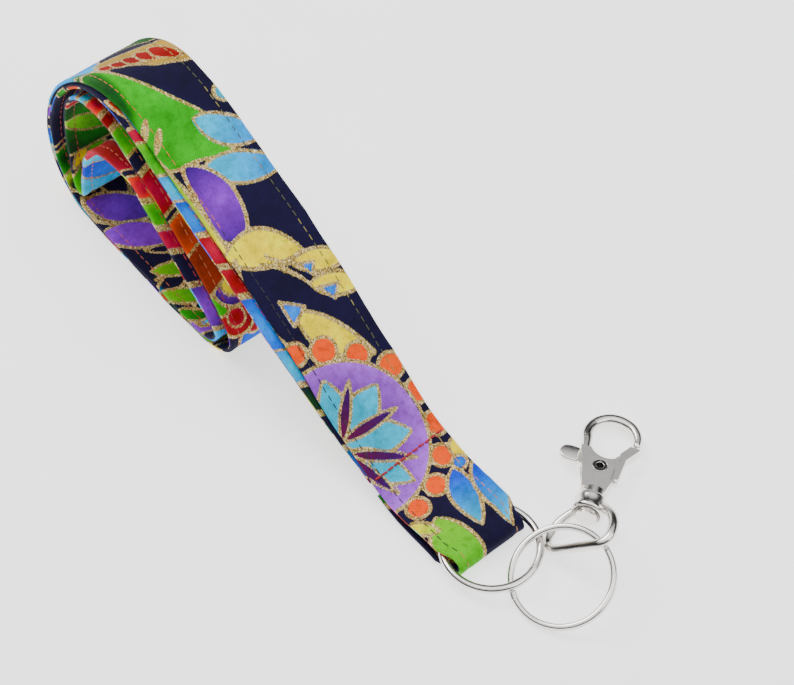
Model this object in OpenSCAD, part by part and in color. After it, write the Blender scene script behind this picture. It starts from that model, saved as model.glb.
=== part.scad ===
// Rolled fabric neck lanyard with an O-ring, a split key ring and a swivel
// lobster clasp. Millimetres. +X runs from the roll to the rings, +Y across
// the strap, +Z up from the surface that the lanyard lies on.

/* [Strap] */
// Finished width of the sewn strap
strap_w = 25; // [24:0.5:26]
// Thickness of one strand, four layers of cotton and the interfacing
strap_t = 1.3; // [1.1:0.1:1.4]
// Thickness of the interfacing inside the fabric
core_t = 0.2; // [0.1:0.05:0.25]
// Distance of each topstitch line from the strap's edge
stitch_in = 3; // [2:0.5:4]
// Width of a row of topstitching
stitch_w = 0.5; // [0.3:0.1:0.8]

/* [O-ring] */
// Radius of the O-ring to the middle of its wire
oring_r = 12.4; // [12.2:0.1:12.6]
// Diameter of the O-ring's wire
oring_wire = 2.2; // [2:0.1:2.2]

/* [Split ring] */
// Radius of the split ring to the middle of its section
split_r = 12.9; // [12.8:0.1:13]
// Thickness of one of its two turns, measured along the ring's axis
split_turn_t = 0.9; // [0.8:0.05:0.95]
// Width of a turn, measured across the ring
split_turn_w = 1.7; // [1.4:0.1:1.8]

/* [Clasp] */
// Diameter of the swivel eye's wire
eye_wire = 2.6; // [2.2:0.1:2.6]
// Outer radius of the swivel eye's collar
collar_r = 4.3; // [4:0.1:4.4]
// Length of the collar
collar_l = 5.2; // [4.8:0.1:5.4]
// Radius of the stud that turns in the collar
stud_r = 1.9; // [1.6:0.05:2]
// Running clearance of the stud and of the lever's bore
run_gap = 0.05; // [0.03:0.01:0.08]
// Thickness of the hook's casting
hook_t = 4.6; // [4.4:0.1:4.8]
// Outer radius of the hook's bow
bow_r = 7.8; // [7.6:0.1:8]
// Radius of the hollow rivet's shank
rivet_r = 1.4; // [1.3:0.05:1.5]

/* [Hidden] */
$fn = 48;

// The row's origin: the middle of the bounding box, on the table.
shift = [17.318, -17.434, 0.078];

half_t = strap_t / 2;
lay = strap_t + 0.15;      // from one strand's middle to the next one's

// Route of the strap's middle surface in the roll's plane, by hand.
// Each row is x, z, sideways shift, distance to the second strand, and
// the second strand's own sideways shift. It starts at the fold around
// the O-ring and ends at the neck fold in the roll.
route = [
    [51.6, 5.5, 0, 4.85, 0],
    [46, 5.45, 0, 4.8, 0],
    [40.5, 5.15, 0, 4.5, 0],
    [35, 4.3, 0, 3.5, 0],
    [29, 4.3, 0, 2.0, 0],
    [21.5, 6.2, 0, lay, 0],
    [14, 9.6, 0, lay, -0.3],
    [6, 14.6, 0, lay, -0.9],
    [-2, 20.2, 0, lay, -1.6],
    [-10, 25.8, 0, lay, -2.2],
    [-18, 31.2, 0, lay, -2.7],
    [-27, 36.8, 0, lay, -3.0],
    [-38, 42.8, 0, lay, -3.2],
    [-50, 48.2, 0, lay, -3.0],
    [-60, 52.7, 0, lay, -2.6],
    [-68, 56.6, 0, lay, -2.2],
    [-76, 59.6, -0.1, lay, -2],
    [-84, 60.8, -0.3, lay, -1.8],
    [-92, 59.6, -0.6, lay, -1.6],
    [-100, 55.6, -1, lay, -1.6],
    [-107, 49.8, -1.5, lay, -1.8],
    [-113, 42.4, -2, lay, -2.2],
    [-117.5, 33.5, -2.6, lay, -2.6],
    [-119.8, 24, -3.2, lay, -3.2],
    [-119.3, 14.5, -3.9, lay, -3.9],
    [-115.4, 6.6, -4.4, lay, -4.4],
    [-108.5, 1.9, -4.8, lay, -4.8],
    [-99.5, 0.65, -5, lay, -5],
    [-84, 0.65, -5, lay, -5],
    [-68, 0.65, -5, lay, -5],
    [-55, 0.65, -4.8, lay, -5],
    [-47.5, 0.75, -4.5, 1.9, -5],
    [-40.5, 2.1, -4.2, 3.4, -5],
    [-35.2, 6.1, -3.8, 5.0, -5],
    [-34.6, 11.8, -3.4, 4.6, -5.2],
    [-38.4, 17.8, -3.2, 2.9, -5.6],
    [-45, 24.4, -3, 1.7, -6],
    [-53, 31.4, -2.9, lay, -6.2],
    [-61.5, 38.2, -2.8, lay, -6],
    [-70, 44, -2.7, lay, -5.4],
    [-78, 48.4, -2.6, 0, 0],
    [-86, 51.2, -2.4, 0, 0],
    [-94, 51.4, -2.2, 0, 0],
    [-101.5, 48.3, -2, 0, 0],
    [-107.3, 42.4, -1.9, 0, 0],
    [-110.8, 35, -1.8, 0, 0],
    [-112.2, 27, -1.9, 0, 0],
    [-112.3, 19, -2.2, 0, 0],
    [-111.6, 12, -2.8, 0, 0],
    [-109.8, 7.4, -3.4, 0, 0],
    [-107, 6.2, -3.8, 0, 0],
    [-104.8, 8.4, -4, 0, 0],
    [-103.6, 14, -4.2, 0, 0],
    [-101, 22, -4.4, 0, 0],
    [-97.4, 30, -4.6, 0, 0],
    [-92, 37.2, -4.8, 0, 0],
    [-85, 41.4, -5, 0, 0],
    [-77, 42.6, -5.2, 0, 0]
];

// The direction across the strap's middle surface, towards the inside of
// the roll, at row i.
function along(i) = let (a = route[max(i - 1, 0)], b = route[min(i + 1, len(route) - 1)],
    d = [b[0] - a[0], b[1] - a[1]]) d / norm(d);
function partner(i) = let (t = along(i), r = route[i])
    [r[0] - t[1] * r[3], r[1] + t[0] * r[3], r[4]];

fold = [[52.8, 0.72, 0], [53.9, 1.7, 0], [54.3, 3.07, 0], [53.9, 4.45, 0], [52.9, 5.35, 0]];
last_pair = 39;            // the last row with a second strand
pocket = [[24.2, 3.05, 0], [28.5, 1.5, 0], [34.5, 0.66, 0], [40.5, 0.65, 0],
          [46, 0.65, 0], [51.5, 0.65, 0]];
// The strip's two ends meet in a butt joint under the bar tack.
knots = concat(
    pocket, fold,
    [for (i = [0 : len(route) - 1]) [route[i][0], route[i][1], route[i][2]]],
    [for (i = [last_pair : -1 : 5]) partner(i)]);

function hermite(a, b, ta, tb, u) =
    a * (2*u*u*u - 3*u*u + 1) + ta * (u*u*u - 2*u*u + u)
    + b * (3*u*u - 2*u*u*u) + tb * (u*u*u - u*u);
function knot(i) = knots[min(max(i, 0), len(knots) - 1)];
function slope(i) = (knot(i + 1) - knot(i - 1)) / 2;
steps = 2;
line = concat(
    [for (i = [0 : len(knots) - 2]) for (k = [0 : steps - 1])
        hermite(knot(i), knot(i + 1), slope(i), slope(i + 1), k / steps)],
    [knot(len(knots) - 1)]);
function heading(i) = let (a = line[max(i - 1, 0)], b = line[min(i + 1, len(line) - 1)],
    d = [b[0] - a[0], b[1] - a[1]]) d / norm(d);
// The strap's corners are pinched in where it passes through the O-ring.
function pinch(x) = x < 47 ? 1 : 1 - 0.145 * min(1, (x - 47) / 4.5);

// A flat outline of [across, out] points carried along the strap.
module carried(outline) {
    n = len(outline);
    m = len(line);
    points = [for (i = [0 : m - 1]) let (p = line[i], h = heading(i), w = pinch(p[0]))
        for (q = outline) [p[0] - h[1] * q[1], p[2] + q[0] * w, p[1] + h[0] * q[1]]];
    sides = [for (i = [0 : m - 2]) for (k = [0 : n - 1])
        [i * n + k, i * n + (k + 1) % n, (i + 1) * n + (k + 1) % n, (i + 1) * n + k]];
    ends = [[for (k = [n - 1 : -1 : 0]) k], [for (k = [0 : n - 1]) (m - 1) * n + k]];
    polyhedron(points, concat(sides, ends), convexity = 12);
}

half_w = strap_w / 2;
slot = core_t / 2 + 0.04;

// The cotton strip folded round the interfacing: one folded edge, and two
// turned-in edges that meet along the other side.
module fabric_strap() {
    color([0.13, 0.11, 0.35]) carried([
        [-half_w, -half_t], [-half_w, -slot], [half_w - 1, -slot], [half_w - 1, slot],
        [-half_w, slot], [-half_w, half_t], [half_w, half_t], [half_w, -half_t]]);
}

module strap_interfacing() {
    color([0.93, 0.92, 0.88]) carried([
        [-half_w + 1.6, -core_t / 2], [-half_w + 1.6, core_t / 2],
        [half_w - 1.2, core_t / 2], [half_w - 1.2, -core_t / 2]]);
}

// A row of topstitching goes through the strip. It sinks into one face and
// stands a little proud of the other.
module topstitch(v) {
    carried([[v - stitch_w / 2, 0.02 - half_t], [v - stitch_w / 2, half_t + 0.06],
             [v + stitch_w / 2, half_t + 0.06], [v + stitch_w / 2, 0.02 - half_t]]);
}
module topstitch_left() { color([0.78, 0.45, 0.25]) topstitch(-half_w + stitch_in); }
module topstitch_right() { color([0.35, 0.36, 0.2]) topstitch(half_w - stitch_in); }

// The line of stitches across both strands that closes the O-ring's loop.
module bar_tack() {
    color([0.78, 0.08, 0.1]) translate([22.2, -0.2, 4.95]) rotate([0, 22, 0])
        cube([0.7, strap_w - 2.4, 3.4], center = true);
}

module torus(r, wire) { rotate_extrude($fn = 96) translate([r, 0]) circle(d = wire, $fn = 32); }

oring_at = [54, 0, 3.4];
oring_tilt = [0, -2.3, 0];
module o_ring() {
    color([0.8, 0.8, 0.78]) translate(oring_at) rotate(oring_tilt) torus(oring_r, oring_wire);
}

// Two turns side by side, joined where the wire steps across.
split_at = [72.2, 7.3, 5.17];
split_tilt = [18.57, -0.22, 0];
split_step = -112;
module split_turn(z, from, sweep) {
    translate([0, 0, z]) rotate([0, 0, from]) rotate_extrude(angle = sweep, $fn = 96)
        translate([split_r, 0]) intersection() {
            square([split_turn_w, split_turn_t], center = true);
            circle(d = split_turn_w * 1.06, $fn = 32);
        }
}
module split_ring() {
    z = split_turn_t / 2 + 0.04;
    color([0.78, 0.78, 0.77]) translate(split_at) rotate(split_tilt) {
        split_turn(z, split_step + 5, 350);
        split_turn(-z, split_step + 5, 350);
        rotate([0, 0, split_step]) translate([split_r, 0, 0])
            cube([split_turn_w - 0.3, 2.9, 2 * split_turn_t + 0.08], center = true);
    }
}

clasp_at = [62.15, 25.83, 5.9];
clasp_turn = [0, 6.46, 121.82];
eye_roll = -35.5;
module in_clasp() { translate(clasp_at) rotate(clasp_turn) children(); }
module in_eye() { in_clasp() rotate([eye_roll, 0, 0]) children(); }

// The eye's wire runs from one side of the collar round to the other.
eye_side = [[-0.3, 3.2], [-3.2, 7.2], [-6, 8.9], [-9, 9.4], [-11.6, 8.9], [-13.1, 7], [-13.4, 3.6]];
eye_knots = concat(eye_side, [[-13.4, 0]], [for (i = [6 : -1 : 0]) [eye_side[i][0], -eye_side[i][1]]]);
function eye_knot(i) = eye_knots[min(max(i, 0), len(eye_knots) - 1)];
function eye_slope(i) = (eye_knot(i + 1) - eye_knot(i - 1)) / 2;
eye_line = concat(
    [for (i = [0 : len(eye_knots) - 2]) for (k = [0 : 1])
        hermite(eye_knot(i), eye_knot(i + 1), eye_slope(i), eye_slope(i + 1), k / 2)],
    [eye_knot(len(eye_knots) - 1)]);
module eye_wire_loop(sides = 12) {
    m = len(eye_line);
    points = [for (i = [0 : m - 1]) let (a = eye_line[max(i - 1, 0)], b = eye_line[min(i + 1, m - 1)],
            d = (b - a) / norm(b - a), p = eye_line[i])
        for (k = [0 : sides - 1]) let (c = eye_wire / 2 * cos(360 * k / sides), e = eye_wire / 2 * sin(360 * k / sides))
            [p[0] - d[1] * c, p[1] + d[0] * c, e]];
    faces = [for (i = [0 : m - 2]) for (k = [0 : sides - 1])
        [i * sides + k, (i + 1) * sides + k, (i + 1) * sides + (k + 1) % sides, i * sides + (k + 1) % sides]];
    ends = [[for (k = [0 : sides - 1]) k], [for (k = [sides - 1 : -1 : 0]) (m - 1) * sides + k]];
    polyhedron(points, concat(faces, ends), convexity = 4);
}
module swivel_eye() {
    color([0.82, 0.82, 0.8]) in_eye() difference() {
        union() {
            translate([-collar_l / 2, 0, 0]) rotate([0, 90, 0]) cylinder(r = collar_r, h = collar_l);
            eye_wire_loop();
        }
        translate([-collar_l / 2 - 1, 0, 0]) rotate([0, 90, 0])
            cylinder(r = stud_r + run_gap, h = collar_l + 2);
    }
}

// The hook: a forked casting with a bow, and the stud that is peened over
// inside the swivel eye.
pivot = [12, 0.6];
neck_x = collar_l / 2 + 0.1;
module hook_outline() {
    difference() {
        union() {
            translate([23.4, 0]) circle(r = bow_r, $fn = 96);
            polygon([[4.4, 3.6], [4.4, -2.7], [9, -3.9], [16.2, -4.4], [22, -7], [22, 7.67], [16, 6.6], [9, 4.6]]);
        }
        translate([22.8, -0.2]) circle(r = 5.7, $fn = 96);
        translate([20.2, -0.1]) circle(r = 5.2, $fn = 96);
        polygon([[7.4, -5.2], [8.6, -3.1], [14.4, -3.1], [17.5, -1.2], [21.6, -4.6], [21.6, -9.2], [16, -9.2], [9, -9.2]]);
        // the claw's end is cut to the arc that the gate's tip swings on
        intersection() {
            translate(pivot) circle(r = 12.78, $fn = 96);
            translate([17, -12]) square([9, 10]);
        }
    }
}
module hook_body() {
    color([0.85, 0.85, 0.83]) in_clasp() difference() {
        union() {
            translate([0, 0, -hook_t / 2]) linear_extrude(hook_t) hook_outline();
            translate([neck_x, 0, 0]) rotate([0, 90, 0]) cylinder(r = 3.1, h = 2.2);
            translate([-collar_l / 2 - 0.9, 0, 0]) rotate([0, 90, 0]) cylinder(r = stud_r, h = collar_l + 4);
            translate([-collar_l / 2 - 1.3, 0, 0]) rotate([0, 90, 0]) cylinder(r = 2.8, h = 1.2);
        }
        // the slot for the lever and its spring
        translate([8.1, -10, -1.05]) cube([9.6, 20, 2.3]);
        translate([pivot[0], pivot[1], -hook_t]) cylinder(r = rivet_r, h = 2 * hook_t);
        translate([pivot[0], pivot[1], hook_t / 2 - 0.3]) cylinder(r = 2.0, h = 2);
        translate([pivot[0], pivot[1], -hook_t / 2 - 1.7]) cylinder(r = 2.0, h = 2);
    }
}

// The gate: a two-armed lever with a thumb tab on one side and the arm
// that closes the hook on the other.
module lever_outline() {
    translate(pivot) circle(r = 3.1, $fn = 64);
    polygon([[11, 2.4], [13, 6.4], [13.4, 9.6], [14.6, 11.1], [16.2, 11.2], [17.1, 9.9], [16.9, 6.4], [14.6, 1.2]]);
}
module gate_arm() {
    polygon([[11.4, -2.2], [8.9, -3.4], [9.5, -4.9], [16.6, -5.3], [21.1, -8.1], [21.4, -5.2], [17.6, -2.6], [14.5, -0.9]]);
}
module gate_lever() {
    color([0.8, 0.8, 0.78]) in_clasp() difference() {
        union() {
            translate([0, 0, -0.95]) linear_extrude(1.3) { lever_outline(); gate_arm(); }
            translate([0, 0, -1.6]) linear_extrude(3.2)
                polygon([[9.5, -4.0], [9.6, -4.9], [16.6, -5.3], [21.1, -8.1], [21.4, -5.4], [18.1, -3.3], [16.2, -4.0]]);
        }
        translate([pivot[0], pivot[1], -3]) cylinder(r = rivet_r + run_gap, h = 6);
    }
}

module lever_rivet() {
    color([0.75, 0.75, 0.74]) in_clasp() translate([pivot[0], pivot[1], 0]) difference() {
        union() {
            translate([0, 0, -hook_t / 2]) cylinder(r = rivet_r - 0.01, h = hook_t);
            translate([0, 0, hook_t / 2 - 0.3]) cylinder(r = 1.95, h = 0.45);
            translate([0, 0, -hook_t / 2 - 0.15]) cylinder(r = 1.95, h = 0.45);
        }
        translate([0, 0, -hook_t]) cylinder(r = 1.0, h = 2 * hook_t);
    }
}

// A small torsion spring round the rivet, beside the lever in the slot.
module lever_spring() {
    color([0.6, 0.6, 0.62]) in_clasp() translate([pivot[0], pivot[1], 0.62]) {
        rotate_extrude($fn = 64) translate([1.95, 0]) circle(d = 0.34, $fn = 16);
        translate([0, 0, 0.33]) rotate_extrude($fn = 64) translate([1.95, 0]) circle(d = 0.34, $fn = 16);
        translate([0, 1.95, 0.33]) rotate([0, -90, 0]) cylinder(d = 0.34, h = 3.2, $fn = 16);
    }
}

translate(shift) fabric_strap();
translate(shift) strap_interfacing();
translate(shift) topstitch_left();
translate(shift) topstitch_right();
translate(shift) bar_tack();
translate(shift) o_ring();
translate(shift) split_ring();
translate(shift) swivel_eye();
translate(shift) hook_body();
translate(shift) gate_lever();
translate(shift) lever_rivet();
translate(shift) lever_spring();
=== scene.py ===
import math
import bpy
import bmesh
import numpy as np
from mathutils import Matrix, Vector


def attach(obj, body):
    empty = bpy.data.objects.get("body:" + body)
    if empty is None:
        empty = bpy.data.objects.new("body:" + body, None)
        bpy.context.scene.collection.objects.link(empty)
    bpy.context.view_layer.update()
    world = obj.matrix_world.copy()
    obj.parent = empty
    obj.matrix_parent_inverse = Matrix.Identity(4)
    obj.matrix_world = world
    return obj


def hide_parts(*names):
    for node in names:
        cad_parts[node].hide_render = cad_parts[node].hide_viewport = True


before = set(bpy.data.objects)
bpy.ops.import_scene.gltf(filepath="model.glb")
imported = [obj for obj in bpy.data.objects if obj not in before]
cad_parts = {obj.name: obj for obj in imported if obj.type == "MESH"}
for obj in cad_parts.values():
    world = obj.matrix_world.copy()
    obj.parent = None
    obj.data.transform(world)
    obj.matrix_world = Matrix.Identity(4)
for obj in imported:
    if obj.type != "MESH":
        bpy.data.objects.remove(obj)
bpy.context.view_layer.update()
MM = 0.001

# ---------------------------------------------------------------- camera
AZ, EL, DIST = math.radians(50.6402), math.radians(54.0), 0.49397
target = Vector(((-11.9296 + 17.318) * MM, (23.5065 - 17.434) * MM, 0.0))
back = Vector((math.sin(AZ) * math.cos(EL), -math.cos(AZ) * math.cos(EL), math.sin(EL)))
right = Vector((math.cos(AZ), math.sin(AZ), 0.0))
cam_data = bpy.data.cameras.new("camera")
cam_data.sensor_fit = "HORIZONTAL"
cam_data.sensor_width = 36.0
cam_data.lens = 1800.0 / 794.0 * 36.0
cam_data.clip_start = 0.01
cam = bpy.data.objects.new("camera", cam_data)
bpy.context.collection.objects.link(cam)
up = back.cross(right)
rot = Matrix((right, up, back)).transposed()
cam.matrix_world = Matrix.Translation(target + back * DIST) @ rot.to_4x4()
bpy.context.scene.camera = cam

# ---------------------------------------------------------------- strap route, in mm
SX, SY, SZ = 17.318, -17.434, 0.078
ROUTE = [
 (51.6,5.5,0,4.85,0),(46,5.45,0,4.8,0),(40.5,5.15,0,4.5,0),(35,4.3,0,3.5,0),(29,4.3,0,2.0,0),
 (21.5,6.2,0,1.45,0),(14,9.6,0,1.45,-.3),(6,14.6,0,1.45,-.9),(-2,20.2,0,1.45,-1.6),(-10,25.8,0,1.45,-2.2),
 (-18,31.2,0,1.45,-2.7),(-27,36.8,0,1.45,-3),(-38,42.8,0,1.45,-3.2),(-50,48.2,0,1.45,-3),(-60,52.7,0,1.45,-2.6),
 (-68,56.6,0,1.45,-2.2),(-76,59.6,-.1,1.45,-2),(-84,60.8,-.3,1.45,-1.8),(-92,59.6,-.6,1.45,-1.6),(-100,55.6,-1,1.45,-1.6),
 (-107,49.8,-1.5,1.45,-1.8),(-113,42.4,-2,1.45,-2.2),(-117.5,33.5,-2.6,1.45,-2.6),(-119.8,24,-3.2,1.45,-3.2),(-119.3,14.5,-3.9,1.45,-3.9),
 (-115.4,6.6,-4.4,1.45,-4.4),(-108.5,1.9,-4.8,1.45,-4.8),(-99.5,.65,-5,1.45,-5),(-84,.65,-5,1.45,-5),(-68,.65,-5,1.45,-5),
 (-55,.65,-4.8,1.45,-5),(-47.5,.75,-4.5,1.9,-5),(-40.5,2.1,-4.2,3.4,-5),(-35.2,6.1,-3.8,5,-5),(-34.6,11.8,-3.4,4.6,-5.2),
 (-38.4,17.8,-3.2,2.9,-5.6),(-45,24.4,-3,1.7,-6),(-53,31.4,-2.9,1.45,-6.2),(-61.5,38.2,-2.8,1.45,-6),(-70,44,-2.7,1.45,-5.4),
 (-78,48.4,-2.6,0,0),(-86,51.2,-2.4,0,0),(-94,51.4,-2.2,0,0),(-101.5,48.3,-2,0,0),(-107.3,42.4,-1.9,0,0),(-110.8,35,-1.8,0,0),
 (-112.2,27,-1.9,0,0),(-112.3,19,-2.2,0,0),(-111.6,12,-2.8,0,0),(-109.8,7.4,-3.4,0,0),(-107,6.2,-3.8,0,0),(-104.8,8.4,-4,0,0),
 (-103.6,14,-4.2,0,0),(-101,22,-4.4,0,0),(-97.4,30,-4.6,0,0),(-92,37.2,-4.8,0,0),(-85,41.4,-5,0,0),(-77,42.6,-5.2,0,0)]
POCKET = [(24.2,3.05,0),(28.5,1.5,0),(34.5,.66,0),(40.5,.65,0),(46,.65,0),(51.5,.65,0)]
FOLD = [(52.8,.72,0),(53.9,1.7,0),(54.3,3.07,0),(53.9,4.45,0),(52.9,5.35,0)]

def knots():
    R = np.array(ROUTE, float)
    n = len(R)
    out = list(POCKET) + list(FOLD) + [(r[0], r[1], r[2]) for r in R]
    for i in range(39, 4, -1):
        a, b = R[max(i-1, 0)], R[min(i+1, n-1)]
        t = np.array([b[0]-a[0], b[1]-a[1]]); t /= np.linalg.norm(t)
        out.append((R[i][0]-t[1]*R[i][3], R[i][1]+t[0]*R[i][3], R[i][4]))
    return np.array(out, float)

def centre(step):
    """The strap's middle line: points (x, z, y shift) at the given arc spacing, in mm, with the arc length."""
    K = knots()
    fine = []
    for i in range(len(K)-1):
        ta = (K[min(i+1, len(K)-1)]-K[max(i-1, 0)])/2
        tb = (K[min(i+2, len(K)-1)]-K[i])/2
        for u in np.arange(0, 1, 1/24):
            fine.append(K[i]*(2*u**3-3*u*u+1)+ta*(u**3-2*u*u+u)+K[i+1]*(3*u*u-2*u**3)+tb*(u**3-u*u))
    fine.append(K[-1])
    fine = np.array(fine)
    d = np.r_[0, np.cumsum(np.linalg.norm(np.diff(fine[:, :2], axis=0), axis=1))]
    n = int(round(d[-1]/step))
    s = np.linspace(0, d[-1], n+1)
    P = np.stack([np.interp(s, d, fine[:, k]) for k in range(3)], 1)
    return s, P

def headings(P):
    h = np.gradient(P[:, :2], axis=0)
    return h/np.linalg.norm(h, axis=1)[:, None]


# ---------------------------------------------------------------- the print
# A generic bright floral: petals, leaves and a scalloped disc with metallic
# gold outlines on a navy ground, laid out in strap coordinates: s runs along
# the strip and v across it, in mm.
NAVY = (0.020, 0.015, 0.058)
INDIGO = (0.040, 0.034, 0.17)
GREEN = (0.060, 0.42, 0.018)
DKGREEN = (0.010, 0.085, 0.018)
LIME = (0.27, 0.60, 0.018)
CYAN = (0.085, 0.60, 0.80)
SKY = (0.020, 0.36, 0.84)
BLUE = (0.008, 0.10, 0.60)
YELLOW = (0.93, 0.78, 0.001)
PALEYEL = (0.90, 0.76, 0.025)
ORANGE = (0.90, 0.19, 0.055)
LILAC = (0.36, 0.125, 0.66)
PURPLE = (0.060, 0.016, 0.20)
PLUM = (0.16, 0.008, 0.085)
RED = (0.33, 0.008, 0.014)
MAGENTA = (0.50, 0.012, 0.110)
TURQ = (0.050, 0.47, 0.62)
RUST = (0.36, 0.075, 0.012)
TEAL = (0.012, 0.20, 0.24)


def seg_dist(S, V, a, b):
    ab = np.array(b, float) - np.array(a, float)
    t = np.clip(((S - a[0]) * ab[0] + (V - a[1]) * ab[1]) / (ab @ ab), 0, 1)
    return np.hypot(S - a[0] - t * ab[0], V - a[1] - t * ab[1]), t


def leaf(a, b, w, bend=0.0):
    """A pointed petal from a to b, w wide, bowed sideways by bend. Returns signed distance and the place along it."""
    a, b = np.array(a, float), np.array(b, float)
    L = np.linalg.norm(b - a)
    u = (b - a) / L
    n = np.array([-u[1], u[0]])

    def f(S, V):
        x = (S - a[0]) * u[0] + (V - a[1]) * u[1]
        y = (S - a[0]) * n[0] + (V - a[1]) * n[1]
        t = np.clip(x / L, 0, 1)
        y = y - bend * 4 * t * (1 - t)
        half = w / 2 * np.power(np.clip(np.sin(np.pi * t ** 0.85), 0, 1), 0.8)
        d = np.abs(y) - half
        over = np.maximum(np.maximum(-x, x - L), 0)
        slope = 1.0 / np.sqrt(1 + (w * 1.1 / L) ** 2)
        return np.where(over > 0, np.hypot(over, np.maximum(np.abs(y), 0)), d * slope), t
    return f


def disc(c, r, squash=1.0):
    def f(S, V):
        d = np.hypot((S - c[0]), (V - c[1]) / squash) - r
        return d, np.clip(1 + d / r, 0, 1)
    return f


def poly(pts):
    P = np.array(pts, float)
    c = P.mean(0)

    def f(S, V):
        d = np.full(S.shape, 1e9)
        inside = np.zeros(S.shape, bool)
        for i in range(len(P)):
            a, b = P[i], P[(i + 1) % len(P)]
            dd, _ = seg_dist(S, V, a, b)
            d = np.minimum(d, dd)
            cross = ((a[1] > V) != (b[1] > V)) & (S < (b[0] - a[0]) * (V - a[1]) / (b[1] - a[1] + 1e-12) + a[0])
            inside ^= cross
        t = np.clip(np.hypot(S - c[0], V - c[1]) / (np.abs(P - c).max() + 1e-6), 0, 1)
        return np.where(inside, -d, d), t
    return f


def rounded(pts, n=6):
    """A closed Catmull-Rom curve through the points."""
    P = np.array(pts, float)
    out = []
    m = len(P)
    for i in range(m):
        p0, p1, p2, p3 = P[i - 1], P[i], P[(i + 1) % m], P[(i + 2) % m]
        for k in range(n):
            t = k / n
            out.append(0.5 * ((2 * p1) + (-p0 + p2) * t + (2 * p0 - 5 * p1 + 4 * p2 - p3) * t * t + (-p0 + 3 * p1 - 3 * p2 + p3) * t ** 3))
    return out


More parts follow.
